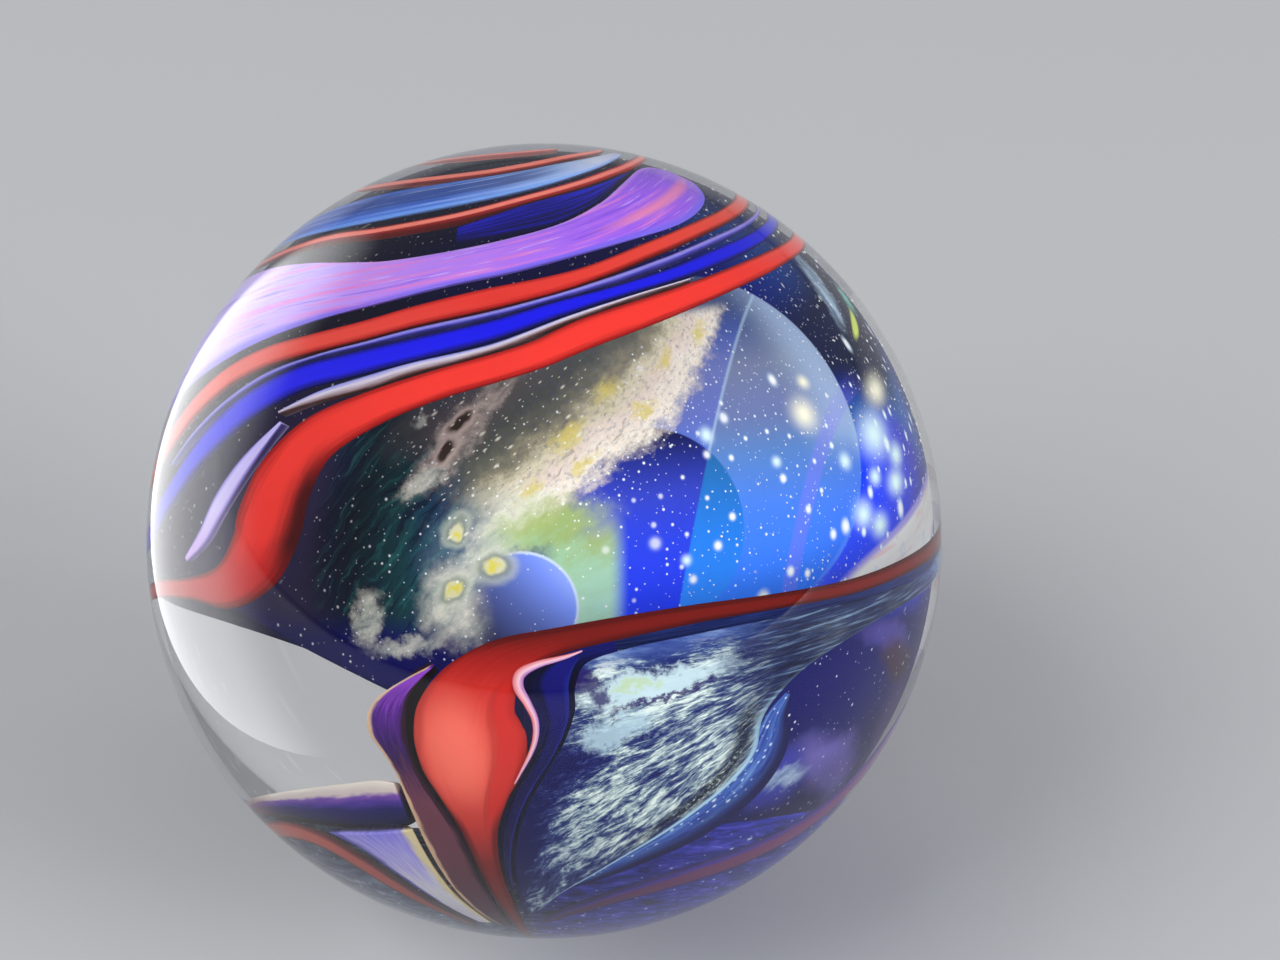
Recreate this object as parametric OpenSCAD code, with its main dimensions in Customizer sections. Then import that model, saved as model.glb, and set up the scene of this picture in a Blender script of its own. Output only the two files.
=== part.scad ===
// Glass marble: a clear glass ball with coloured glass ribbons twisted round a dark core.
// Millimetres, +Z up, origin at the centre of the ball.
// A ribbon is a list of [longitude, latitude, half width], in degrees about the twist axis.
// A sheet is a list of [longitude, latitude, longitude, latitude], from its one border to the other.
// Longitude 0 is the front (-Y) and 90 is the right (+X).

/* [Ball] */
// Outside diameter of the ball
ball_d = 38; // [34:0.5:60]
// Lean of the twist axis away from the front, in degrees
axis_lean = 35; // [0:1:60]
// Clear glass over the ribbons
cover = 0.6; // [0.4:0.05:1]

/* [Ribbons] */
// Depth of the ribbons
ribbon_depth = 1; // [0.5:0.1:1.6]
// Share of a ribbon's width left at its inner side
inner_share = 0.6; // [0.3:0.05:0.9]

/* [Foot] */
// Thickness of the dark pad under the ribbons at the foot
pad_depth = 0.8; // [0.4:0.1:1.4]
// Clear glass between the ribbons and the pad
pad_gap = 0.15; // [0.1:0.05:0.4]
// Reach of the pad from the foot of the twist axis, in degrees
pad_reach = 51; // [30:1:54]

/* [Core] */
// Diameter of the galaxy core
core_d = 25; // [12:0.5:26]
// Diameter of the round hollow in the core
hollow_d = 40; // [36:0.5:50]
// Least thickness of core left between its middle and the hollow
hollow_web = 3.2; // [2:0.1:5.5]
// Longitude of the hollow about the twist axis
hollow_lon = -95; // [-180:1:180]
// Latitude of the hollow about the twist axis
hollow_lat = -66; // [-90:1:90]

/* [Hidden] */
ball_r = ball_d / 2;
core_r = core_d / 2;
hollow_r = hollow_d / 2;
ribbon_r = ball_r - cover;
pad_r = ribbon_r - ribbon_depth - pad_gap;
steps = 2;
$fn = 128;

// Hook ribbon, in degrees
hook_path = [
    [-130, -70, 0.8], [-128, -55, 1], [-124, -40, 1.1], [-116, -26, 1.1], [-104, -15.5, 1.1],
    [-90, -9, 1.1], [-72, -5, 1.2], [-58, -3.4, 1.6], [-49, -2.2, 3.2], [-43, 2, 5.2],
    [-40.5, 7, 6], [-38.5, 12.5, 5.2], [-34, 18.5, 3.6], [-26, 23, 2.6], [-16, 26.8, 2.1],
    [-2, 31, 2], [9, 35.3, 2.2], [31, 41.6, 1.7], [48, 45.5, 1.5], [65, 48.3, 1.3],
    [90, 51, 1.2], [130, 54, 1.1], [180, 57, 1], [230, 59.5, 1], [270, 61.8, 0.9],
    [296, 64, 0.9], [332, 68, 0.9], [352, 71.5, 0.9], [376, 76, 0.8], [410, 79.5, 0.5],
];
// Cobalt ribbon, in degrees
cobalt_path = [
    [-156, -68, 0.7], [-152, -52, 1], [-144, -37, 1.1], [-130, -23.5, 1.2], [-110, -11.5, 1.2],
    [-90, -3, 1.3], [-76, 2.6, 1.6], [-66, 9.4, 1.8], [-59, 15.4, 2], [-54, 19.4, 2.2],
    [-49, 22.8, 2.2], [-40, 27, 1.9], [-30, 29.6, 1.8], [-22, 31.6, 1.7], [-9, 34.8, 1.5],
    [2, 38.3, 1.2], [12, 41, 0.9], [25, 44.2, 1], [43, 48.6, 1.2], [70, 53.5, 1],
    [100, 57, 0.9], [140, 60, 0.8], [190, 62.6, 0.7], [235, 65, 0.5],
];
// Upper red ribbon, in degrees
upper_red_path = [
    [-184, -73, 0.7], [-180, -58, 0.9], [-173, -43, 1.1], [-161, -29, 1.2], [-142, -16.5, 1.2],
    [-120, -6.5, 1.2], [-100, 1, 1.3], [-85, 8, 1.5], [-72, 16.4, 1.8], [-66, 21.2, 1.8],
    [-61, 24.6, 1.8], [-56, 27.4, 1.7], [-49, 30.1, 1.6], [-40, 32.4, 1.5], [-31, 34.6, 1.5],
    [-21, 37.4, 1.6], [-10, 40, 1.7], [2, 42.7, 1.4], [10, 45, 1.2], [24, 49.5, 1.2],
    [44, 54.5, 1.2], [71, 59, 1.2], [110, 63, 1], [160, 66, 0.9], [220, 68.5, 0.9],
    [276, 71.5, 0.8], [330, 77, 0.7], [370, 80.5, 0.5],
];
// Violet sheet, in degrees
violet_sheet = [
    [-150, 12, -150, 16], [-122, 13, -125, 27], [-98, 15, -102, 36], [-80, 20.6, -84, 41],
    [-66, 26.8, -68, 44.2], [-54, 31.8, -54, 45.6], [-42, 35.8, -42, 46], [-30, 39, -32, 46.5],
    [-18, 42.2, -20, 48.4], [-6, 44.8, -8, 51], [8, 48.4, 4, 54.4], [20, 51.2, 15, 59.2],
    [32, 53.8, 26, 64.6], [43, 57, 38, 68.8], [53, 60.8, 49, 70.4], [59, 64.6, 57, 69.4],
];
// Navy sheet in the crown, in degrees
crown_navy_sheet = [
    [-19, 50.6, -20, 53.4], [-12, 51.6, -13, 56], [-5, 53, -5, 58.8], [4, 55.4, 4, 61.2],
    [15, 60.2, 15, 63.9], [26, 65.6, 26, 66.7], [33, 68, 33, 68.4],
];
// Lower red ribbon with its drop, in degrees
lower_red_path = [
    [-7, -74, 0.5], [-8, -62, 0.8], [-9.6, -52, 1.2], [-10.5, -44, 1.6], [-10.9, -37, 2.5],
    [-11, -31, 4.6], [-10.9, -26.8, 6.6], [-10.6, -22.5, 7.6], [-10.4, -18.2, 7.2],
    [-8.8, -14, 5.4], [-5, -10, 3.4], [1, -7.4, 1.9], [10, -5.5, 1.5], [21, -3.9, 1.2],
    [32, -3, 1], [47, -2, 1], [62, -0.3, 1.1], [76, 1.5, 1.3], [90, 4.5, 1.3], [120, 11, 1.2],
    [150, 18, 1.1], [180, 25, 1], [210, 31, 1], [240, 36.5, 1], [279, 44.6, 1],
    [303, 50.3, 1], [320, 52.6, 0.9], [338, 56, 0.9], [355, 60.6, 0.9], [373, 65.3, 0.9],
    [390, 69.4, 0.9], [415, 73.6, 0.8], [450, 76.6, 0.5],
];
// Streaked sheet, in degrees
streak_sheet = [
    [106, 5.6, 106, 4.8], [92, 2.4, 92, 0.8], [78, -0.6, 79, -3], [64, -2.6, 66, -5],
    [50, -3.9, 54, -7], [38, -4.8, 45.4, -9.6], [28, -5.7, 39, -12.4], [19, -6.9, 35, -15.6],
    [11, -8.3, 33, -18.4], [5.6, -10.2, 32.6, -21], [4.2, -13.4, 33, -23.8], [4.2, -17, 32, -27],
    [2.8, -21.6, 29.4, -30.4], [0.2, -26.6, 25.4, -34.2], [-2.6, -32.4, 20.4, -38.4],
    [-4.6, -38.6, 15, -42.4], [-5.6, -45.4, 9.6, -46.6], [-5.6, -52.4, 3.6, -51.4],
    [-4.8, -59, -1.4, -57],
];
// Navy strip right of the drop, in degrees
navy_edge_sheet = [
    [3.8, -9.2, 4.6, -9.5], [0.8, -10.4, 3.8, -11], [-0.7, -12.4, 3.3, -13.2], [-0.4, -15, 3.4, -15.4],
    [0.4, -17.6, 3.4, -17.8], [0.4, -20.4, 2.6, -20.6], [-0.8, -23.6, 1.2, -23.8],
    [-2.8, -27.2, -0.9, -27.4], [-5, -31.6, -3.2, -31.8], [-6.9, -37.4, -5.2, -37.6],
    [-7.5, -44, -6.4, -44.2], [-7, -51, -6.5, -51],
];
// Lilac line over the cobalt ribbon, in degrees
lilac_line_path = [
    [-68, 13, 0.2], [-62, 18, 0.35], [-55, 23, 0.4], [-47, 27.4, 0.38], [-38, 30.4, 0.25],
    [-29, 32.7, 0.3], [-21, 34.8, 0.35], [-9, 37.5, 0.35], [2, 40.4, 0.32], [12, 43.2, 0.4],
    [25, 46.9, 0.4], [43, 51.4, 0.4], [70, 56.1, 0.3], [95, 59, 0.2],
];
// White line under the cobalt ribbon, in degrees
white_line_path = [
    [-42, 22, 0.2], [-38, 23.6, 0.5], [-34, 25, 0.75], [-27, 27, 0.9], [-20, 29.2, 0.75],
    [-8, 32.3, 0.5], [4, 36.8, 0.35], [16, 40.4, 0.2], [28, 43.2, 0.15],
];
// Lilac leaf, in degrees
lilac_path = [
    [-41, 20.6, 0.3], [-46.4, 14.6, 1.3], [-50.8, 9, 1.6], [-54.5, 4, 1.2], [-59, 0.6, 0.4],
];
// Blue lens in the crown, in degrees
crown_blue_path = [
    [-120, 42, 1], [-95, 47.5, 2.2], [-72, 53.5, 3.4], [-50, 58, 4], [-28, 62, 3.6],
    [-8, 66, 3], [12, 70.6, 2.2], [35, 74.8, 1.2], [55, 77.2, 0.6],
];
// Plum strip left of the drop, in degrees
plum_edge_sheet = [
    [-15.8, -11.2, -15.2, -11.2], [-19.4, -13, -17.4, -13.4], [-23.4, -15.6, -19, -15.8],
    [-25.5, -18.4, -19.7, -18.6], [-25.7, -21.2, -19.9, -21.8], [-24.2, -24, -19.6, -25],
    [-22.8, -27.2, -18.8, -28], [-22.2, -31.2, -17.2, -31.4], [-21.7, -35.4, -15.3, -35.4],
    [-21.3, -40.4, -14, -40.4], [-20.6, -46.4, -13.4, -46.4], [-19.4, -53, -12.2, -53],
    [-17, -59, -11, -59], [-13.6, -64, -10.4, -64],
];
// Red ribbon of the foot, in degrees
foot_red_path = [
    [-112, -60, 0.8], [-96, -52.5, 1], [-80, -46.8, 1.4], [-66, -43.4, 1.7], [-54, -41.8, 1.9],
    [-46, -43, 2], [-40.4, -46.6, 2], [-36.4, -51, 1.8], [-32.6, -55.6, 1.4], [-28.6, -60, 0.9],
    [-24, -65, 0.5],
];
// Lilac leaf of the foot, in degrees
foot_lilac_sheet = [
    [-42.4, -40, -22.9, -37.3], [-36.6, -42.8, -22.4, -42], [-32.4, -47.4, -21.6, -48],
    [-28.6, -52.8, -20.4, -53.6], [-25, -58, -18.2, -58.8], [-20.6, -62.8, -16.4, -63],
];
// Navy strip of the foot, in degrees
foot_navy_sheet = [
    [-94, -47.6, -94, -46.8], [-78, -42.6, -78, -40.8], [-64, -40, -64, -36.9], [-52, -38.2, -51, -33.8],
    [-43, -38, -41, -31.6], [-34, -37.6, -32.6, -29.9], [-28, -37, -26.6, -28.8], [-22.9, -36, -23.6, -29],
];
// Plum ribbon, in degrees
plum_path = [
    [140, -6, 0.8], [118, -9, 1.5], [98, -14, 2.2], [84, -20.5, 2.6], [76, -27.5, 2.7],
    [69, -34, 2.6], [59.5, -40.2, 2.5], [46, -45.2, 2.3], [32, -49, 2], [19, -53, 1.5],
    [8, -57.6, 1], [0, -62, 0.5],
];

// Direction on a ball of radius one
function toward(lon, lat) = [cos(lat) * sin(lon), -cos(lat) * cos(lon), sin(lat)];

// Value at t between the second and third of four control points
function curve(a, b, c, d, t) =
    b + t * ((c - a) / 2 + t * (a - 2.5 * b + 2 * c - d / 2 + t * (1.5 * (b - c) + (d - a) / 2)));

// Control points with points set evenly between them
function stations(path) =
    let (last = len(path) - 1)
    [
        for (i = [0:last - 1], k = [0:steps - 1])
            curve(path[max(i - 1, 0)], path[i], path[i + 1], path[min(i + 2, last)], k / steps),
        path[last],
    ];

// Section of a piece: [place from border to border, -1 to 1, share of the depth], round from the outer side
narrow_section = [[-1, 0], [0, 0], [1, 0], [inner_share, 1], [-inner_share, 1]];
broad_section = [
    [-1, 0], [-0.5, 0], [0, 0], [0.5, 0], [1, 0], [inner_share, 1], [0, 1], [-inner_share, 1],
];

// Border of a ribbon, on its one side (-1) or the other (1)
function border(path, side) =
    let (
        rows = stations(path),
        last = len(rows) - 1,
        middles = [for (row = rows) toward(row[0], row[1])]
    )
    [
        for (i = [0:last])
            let (
                along = middles[min(i + 1, last)] - middles[max(i - 1, 0)],
                across = cross(middles[i], along),
                reach = side * rows[i][2]
            )
            middles[i] * cos(reach) + across / norm(across) * sin(reach),
    ];

// Ribbon of one section, under the clear cover
module ribbon(path, section = narrow_section) loft(border(path, -1), border(path, 1), section);

// Broad leaf of glass between two borders
module sheet(path) {
    rows = stations(path);
    lefts = [for (row = rows) toward(row[0], row[1])];
    rights = [for (row = rows) toward(row[2], row[3])];
    loft(lefts, rights, broad_section);
}

// Solid that follows the ball from border to border
module loft(lefts, rights, section) {
    count = len(lefts);
    wide = len(section);
    points = [
        for (i = [0:count - 1], p = section)
            let (line = lefts[i] * (1 - p[0]) + rights[i] * (1 + p[0]))
            line / norm(line) * (ribbon_r - p[1] * ribbon_depth),
    ];
    walls = [
        for (i = [0:count - 2], k = [0:wide - 1])
            let (a = i * wide + k, b = i * wide + (k + 1) % wide)
            each [[a, b, a + wide], [b, b + wide, a + wide]],
    ];
    start_cap = [for (k = [1:wide - 2]) [0, k + 1, k]];
    first = (count - 1) * wide;
    end_cap = [for (k = [1:wide - 2]) [first, first + k, first + k + 1]];
    rotate([-axis_lean, 0, 0]) polyhedron(points, concat(start_cap, walls, end_cap));
}

// Ball of dark glass with a round hollow pressed into its lower left
module galaxy_core() color([0.03, 0.05, 0.3]) core_solid();

module core_solid() {
    rotate([-axis_lean, 0, 0]) rotate([0, 90 - hollow_lat, hollow_lon - 90]) difference() {
        sphere(r = core_r);
        translate([0, 0, hollow_r + hollow_web]) sphere(r = hollow_r);
    }
}

// Cap of dark glass round the foot of the twist, just under the ribbons
module foot_pad() color([0.1, 0.12, 0.3]) pad_solid();

module pad_solid() {
    rim_drop = pad_r * cos(pad_reach);
    rotate([-axis_lean, 0, 0]) rotate_extrude() intersection() {
        difference() {
            circle(r = pad_r);
            circle(r = pad_r - pad_depth);
        }
        translate([0, -ball_r]) square([ball_r, ball_r - rim_drop]);
    }
}

module hook_ribbon() color([0.86, 0.12, 0.08]) ribbon(hook_path);

module cobalt_ribbon() color([0.05, 0.05, 0.85]) ribbon(cobalt_path);

module upper_red_ribbon() color([0.85, 0.14, 0.1]) ribbon(upper_red_path);

module violet_ribbon() color([0.55, 0.33, 0.9]) sheet(violet_sheet);

module lower_red_ribbon() color([0.7, 0.06, 0.04]) ribbon(lower_red_path);

module streaked_ribbon() color([0.45, 0.58, 0.75]) sheet(streak_sheet);

module crown_blue_ribbon() color([0.5, 0.6, 0.95]) ribbon(crown_blue_path, broad_section);

module crown_navy_ribbon() color([0.03, 0.03, 0.35]) sheet(crown_navy_sheet);

module plum_edge() color([0.3, 0.1, 0.45]) sheet(plum_edge_sheet);

module navy_edge() color([0.04, 0.04, 0.3]) sheet(navy_edge_sheet);

module lilac_line() color([0.6, 0.56, 0.9]) ribbon(lilac_line_path);

module white_line() color([0.86, 0.85, 0.95]) ribbon(white_line_path);

module lilac_leaf() color([0.84, 0.8, 0.98]) ribbon(lilac_path);

module foot_red_ribbon() color([0.6, 0.08, 0.06]) ribbon(foot_red_path);

module foot_lilac_leaf() color([0.78, 0.74, 0.95]) sheet(foot_lilac_sheet);

module foot_navy_ribbon() color([0.06, 0.05, 0.35]) sheet(foot_navy_sheet);

module plum_ribbon() color([0.35, 0.1, 0.3]) ribbon(plum_path);

// Clear ball with room for every piece inside it
module clear_casing() color([0.9, 0.95, 1, 0.3]) difference() {
    sphere(r = ball_r);
    core_solid();
    pad_solid();
    for (path = [
        hook_path, cobalt_path, upper_red_path, lower_red_path, lilac_line_path, white_line_path, lilac_path,
        foot_red_path, plum_path,
    ]) ribbon(path);
    ribbon(crown_blue_path, broad_section);
    for (path = [
        violet_sheet, streak_sheet, crown_navy_sheet, plum_edge_sheet, navy_edge_sheet, foot_lilac_sheet,
        foot_navy_sheet,
    ]) sheet(path);
}

clear_casing();
galaxy_core();
foot_pad();
hook_ribbon();
cobalt_ribbon();
upper_red_ribbon();
violet_ribbon();
lower_red_ribbon();
streaked_ribbon();
crown_blue_ribbon();
crown_navy_ribbon();
plum_edge();
navy_edge();
lilac_line();
white_line();
lilac_leaf();
foot_red_ribbon();
foot_lilac_leaf();
foot_navy_ribbon();
plum_ribbon();
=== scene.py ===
"""Glass marble: a clear ball with coloured glass ribbons twisted round a starry core."""
import math
import random
from functools import cached_property

import bpy
import numpy as np
from mathutils import Matrix, Vector


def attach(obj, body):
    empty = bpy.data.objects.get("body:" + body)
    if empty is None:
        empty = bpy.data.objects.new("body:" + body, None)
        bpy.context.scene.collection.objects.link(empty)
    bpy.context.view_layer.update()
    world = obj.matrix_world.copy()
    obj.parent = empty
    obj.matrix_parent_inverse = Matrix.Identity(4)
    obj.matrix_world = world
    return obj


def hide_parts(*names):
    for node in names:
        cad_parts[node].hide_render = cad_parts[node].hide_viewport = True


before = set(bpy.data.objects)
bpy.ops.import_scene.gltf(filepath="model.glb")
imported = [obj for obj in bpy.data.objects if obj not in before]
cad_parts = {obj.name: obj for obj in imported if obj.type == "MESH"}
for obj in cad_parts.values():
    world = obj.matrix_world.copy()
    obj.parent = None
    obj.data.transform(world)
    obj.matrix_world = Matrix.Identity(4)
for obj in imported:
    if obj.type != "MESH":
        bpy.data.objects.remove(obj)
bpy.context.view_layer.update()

# Sizes in metres and angles in degrees, as in the part
MM = 0.001
BALL_R = 19 * MM
CASING_R = BALL_R - 0.01 * MM
AXIS_LEAN = 35
RIBBON_R = BALL_R - 0.6 * MM
RIBBON_DEPTH = 1 * MM
PAD_R = RIBBON_R - RIBBON_DEPTH - 0.15 * MM
PAD_DEPTH = 0.8 * MM
PAD_REACH = 51
CORE_R = 12.5 * MM
HOLLOW_R = 20 * MM
HOLLOW_WEB = 3.2 * MM
HOLLOW_LON = -95
HOLLOW_LAT = -66
PINK_DEPTH = 0.04 * MM
PINK_LIFT = 0.06 * MM
FILM_DEPTH = 0.1 * MM
FILM_LIFT = -RIBBON_DEPTH - 0.02 * MM
GRAIN_COUNT = 1100
GRAIN_R = 0.012 * MM
GRAIN_SPREAD = 0.05 * MM
GLASS_IOR = 1.49
FLOOR_HALF = 3.0

# View: its height in degrees, its distance in ball radii, and the ball's place and radius in pixels
VIEW_UP = 41
VIEW_FAR = 7.5
PICTURE_W = 1280
PICTURE_H = 960
SEEN_X = 544
SEEN_Y = 541
SEEN_R = 398

# Ribbons as (longitude, latitude, half width) about the twist axis
HOOK = [
    (-130, -70, 0.8), (-128, -55, 1), (-124, -40, 1.1), (-116, -26, 1.1), (-104, -15.5, 1.1),
    (-90, -9, 1.1), (-72, -5, 1.2), (-58, -3.4, 1.6), (-49, -2.2, 3.2), (-43, 2, 5.2), (-40.5, 7, 6),
    (-38.5, 12.5, 5.2), (-34, 18.5, 3.6), (-26, 23, 2.6), (-16, 26.8, 2.1), (-2, 31, 2), (9, 35.3, 2.2),
    (31, 41.6, 1.7), (48, 45.5, 1.5), (65, 48.3, 1.3), (90, 51, 1.2), (130, 54, 1.1), (180, 57, 1),
    (230, 59.5, 1), (270, 61.8, 0.9), (296, 64, 0.9), (332, 68, 0.9), (352, 71.5, 0.9), (376, 76, 0.8),
    (410, 79.5, 0.5),
]
COBALT = [
    (-156, -68, 0.7), (-152, -52, 1), (-144, -37, 1.1), (-130, -23.5, 1.2), (-110, -11.5, 1.2),
    (-90, -3, 1.3), (-76, 2.6, 1.6), (-66, 9.4, 1.8), (-59, 15.4, 2), (-54, 19.4, 2.2), (-49, 22.8, 2.2),
    (-40, 27, 1.9), (-30, 29.6, 1.8), (-22, 31.6, 1.7), (-9, 34.8, 1.5), (2, 38.3, 1.2), (12, 41, 0.9),
    (25, 44.2, 1), (43, 48.6, 1.2), (70, 53.5, 1), (100, 57, 0.9), (140, 60, 0.8), (190, 62.6, 0.7),
    (235, 65, 0.5),
]
UPPER_RED = [
    (-184, -73, 0.7), (-180, -58, 0.9), (-173, -43, 1.1), (-161, -29, 1.2), (-142, -16.5, 1.2),
    (-120, -6.5, 1.2), (-100, 1, 1.3), (-85, 8, 1.5), (-72, 16.4, 1.8), (-66, 21.2, 1.8), (-61, 24.6, 1.8),
    (-56, 27.4, 1.7), (-49, 30.1, 1.6), (-40, 32.4, 1.5), (-31, 34.6, 1.5), (-21, 37.4, 1.6),
    (-10, 40, 1.7), (2, 42.7, 1.4), (10, 45, 1.2), (24, 49.5, 1.2), (44, 54.5, 1.2), (71, 59, 1.2),
    (110, 63, 1), (160, 66, 0.9), (220, 68.5, 0.9), (276, 71.5, 0.8), (330, 77, 0.7), (370, 80.5, 0.5),
]
LOWER_RED = [
    (-7, -74, 0.5), (-8, -62, 0.8), (-9.6, -52, 1.2), (-10.5, -44, 1.6), (-10.9, -37, 2.5), (-11, -31, 4.6),
    (-10.9, -26.8, 6.6), (-10.6, -22.5, 7.6), (-10.4, -18.2, 7.2), (-8.8, -14, 5.4), (-5, -10, 3.4),
    (1, -7.4, 1.9), (10, -5.5, 1.5), (21, -3.9, 1.2), (32, -3, 1), (47, -2, 1), (62, -0.3, 1.1),
    (76, 1.5, 1.3), (90, 4.5, 1.3), (120, 11, 1.2), (150, 18, 1.1), (180, 25, 1), (210, 31, 1),
    (240, 36.5, 1), (279, 44.6, 1), (303, 50.3, 1), (320, 52.6, 0.9), (338, 56, 0.9), (355, 60.6, 0.9),
    (373, 65.3, 0.9), (390, 69.4, 0.9), (415, 73.6, 0.8), (450, 76.6, 0.5),
]
LILAC_LINE = [
    (-68, 13, 0.2), (-62, 18, 0.35), (-55, 23, 0.4), (-47, 27.4, 0.38), (-38, 30.4, 0.25), (-29, 32.7, 0.3),
    (-21, 34.8, 0.35), (-9, 37.5, 0.35), (2, 40.4, 0.32), (12, 43.2, 0.4), (25, 46.9, 0.4), (43, 51.4, 0.4),
    (70, 56.1, 0.3), (95, 59, 0.2),
]
WHITE_LINE = [
    (-42, 22, 0.2), (-38, 23.6, 0.5), (-34, 25, 0.75), (-27, 27, 0.9), (-20, 29.2, 0.75), (-8, 32.3, 0.5),
    (4, 36.8, 0.35), (16, 40.4, 0.2), (28, 43.2, 0.15),
]
LILAC = [
    (-41, 20.6, 0.3), (-46.4, 14.6, 1.3), (-50.8, 9, 1.6), (-54.5, 4, 1.2), (-59, 0.6, 0.4),
]
CROWN_BLUE = [
    (-120, 42, 1), (-95, 47.5, 2.2), (-72, 53.5, 3.4), (-50, 58, 4), (-28, 62, 3.6), (-8, 66, 3),
    (12, 70.6, 2.2), (35, 74.8, 1.2), (55, 77.2, 0.6),
]
FOOT_RED = [
    (-112, -60, 0.8), (-96, -52.5, 1), (-80, -46.8, 1.4), (-66, -43.4, 1.7), (-54, -41.8, 1.9),
    (-46, -43, 2), (-40.4, -46.6, 2), (-36.4, -51, 1.8), (-32.6, -55.6, 1.4), (-28.6, -60, 0.9),
    (-24, -65, 0.5),
]
PLUM = [
    (140, -6, 0.8), (118, -9, 1.5), (98, -14, 2.2), (84, -20.5, 2.6), (76, -27.5, 2.7), (69, -34, 2.6),
    (59.5, -40.2, 2.5), (46, -45.2, 2.3), (32, -49, 2), (19, -53, 1.5), (8, -57.6, 1), (0, -62, 0.5),
]

# Sheets as (longitude, latitude) of the one border and of the other
VIOLET = [
    (-150, 12, -150, 16), (-122, 13, -125, 27), (-98, 15, -102, 36), (-80, 20.6, -84, 41),
    (-66, 26.8, -68, 44.2), (-54, 31.8, -54, 45.6), (-42, 35.8, -42, 46), (-30, 39, -32, 46.5),
    (-18, 42.2, -20, 48.4), (-6, 44.8, -8, 51), (8, 48.4, 4, 54.4), (20, 51.2, 15, 59.2),
    (32, 53.8, 26, 64.6), (43, 57, 38, 68.8), (53, 60.8, 49, 70.4), (59, 64.6, 57, 69.4),
]
CROWN_NAVY = [
    (-19, 50.6, -20, 53.4), (-12, 51.6, -13, 56), (-5, 53, -5, 58.8), (4, 55.4, 4, 61.2),
    (15, 60.2, 15, 63.9), (26, 65.6, 26, 66.7), (33, 68, 33, 68.4),
]
STREAKED = [
    (106, 5.6, 106, 4.8), (92, 2.4, 92, 0.8), (78, -0.6, 79, -3), (64, -2.6, 66, -5), (50, -3.9, 54, -7),
    (38, -4.8, 45.4, -9.6), (28, -5.7, 39, -12.4), (19, -6.9, 35, -15.6), (11, -8.3, 33, -18.4),
    (5.6, -10.2, 32.6, -21), (4.2, -13.4, 33, -23.8), (4.2, -17, 32, -27), (2.8, -21.6, 29.4, -30.4),
    (0.2, -26.6, 25.4, -34.2), (-2.6, -32.4, 20.4, -38.4), (-4.6, -38.6, 15, -42.4),
    (-5.6, -45.4, 9.6, -46.6), (-5.6, -52.4, 3.6, -51.4), (-4.8, -59, -1.4, -57),
]
NAVY_EDGE = [
    (3.8, -9.2, 4.6, -9.5), (0.8, -10.4, 3.8, -11), (-0.7, -12.4, 3.3, -13.2), (-0.4, -15, 3.4, -15.4),
    (0.4, -17.6, 3.4, -17.8), (0.4, -20.4, 2.6, -20.6), (-0.8, -23.6, 1.2, -23.8),
    (-2.8, -27.2, -0.9, -27.4), (-5, -31.6, -3.2, -31.8), (-6.9, -37.4, -5.2, -37.6),
    (-7.5, -44, -6.4, -44.2), (-7, -51, -6.5, -51),
]
PLUM_EDGE = [
    (-15.8, -11.2, -15.2, -11.2), (-19.4, -13, -17.4, -13.4), (-23.4, -15.6, -19, -15.8),
    (-25.5, -18.4, -19.7, -18.6), (-25.7, -21.2, -19.9, -21.8), (-24.2, -24, -19.6, -25),
    (-22.8, -27.2, -18.8, -28), (-22.2, -31.2, -17.2, -31.4), (-21.7, -35.4, -15.3, -35.4),
    (-21.3, -40.4, -14, -40.4), (-20.6, -46.4, -13.4, -46.4), (-19.4, -53, -12.2, -53),
    (-17, -59, -11, -59), (-13.6, -64, -10.4, -64),
]
FOOT_LILAC = [
    (-42.4, -40, -22.9, -37.3), (-36.6, -42.8, -22.4, -42), (-32.4, -47.4, -21.6, -48),
    (-28.6, -52.8, -20.4, -53.6), (-25, -58, -18.2, -58.8), (-20.6, -62.8, -16.4, -63),
]
FOOT_NAVY = [
    (-94, -47.6, -94, -46.8), (-78, -42.6, -78, -40.8), (-64, -40, -64, -36.9), (-52, -38.2, -51, -33.8),
    (-43, -38, -41, -31.6), (-34, -37.6, -32.6, -29.9), (-28, -37, -26.6, -28.8), (-22.9, -36, -23.6, -29),
]

# Trim that only the looks have: a pink line on the drop, dim films behind the narrow gaps, and a blue skirt
PINK_LINE = [
    (5, -8.4, 0.1), (2.8, -9.2, 0.3), (-0.8, -10.2, 0.5), (-3.1, -11.5, 0.7), (-3.4, -13.4, 0.7),
    (-2.2, -15.7, 0.55), (-1.2, -18.1, 0.45), (-1.2, -20.7, 0.4), (-2.1, -23.5, 0.3), (-4.4, -28, 0.1),
]
LEFT_SHADE = [
    (-15.4, -11.6, 0.8), (-18, -13.8, 1.4), (-19.2, -17, 1.6), (-19.6, -21.8, 1.6), (-18.9, -26.6, 1.6),
    (-17, -31, 1.6), (-14.8, -35.6, 1.6), (-13.4, -41, 1.6), (-12.6, -47, 1.4), (-11.6, -54, 1),
]
RIGHT_SHADE = [
    (10, -8.6, 0.8), (6.4, -9.8, 2), (2.8, -11.4, 3.6), (1.4, -13.2, 4.2), (1.1, -15.4, 4.2), (1, -17.9, 4),
    (0.4, -20.5, 3.6), (-0.8, -23.7, 3.2), (-2.6, -27.3, 2.9), (-4.5, -31.7, 2.5), (-6.1, -37.5, 2.1),
    (-6.9, -44, 1.7), (-6.8, -51, 1.2),
]
UNDER_RED = [
    (4, -8, 0.6), (8, -7.6, 1.6), (13, -7, 1.8), (21, -5.9, 1.7), (30, -4.9, 1.6), (40, -4.1, 1.5),
    (50, -3.3, 1.4), (62, -2.1, 1.3), (76, -0.3, 1.2), (90, 2.6, 1.1), (104, 5.4, 0.6),
]
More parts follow.
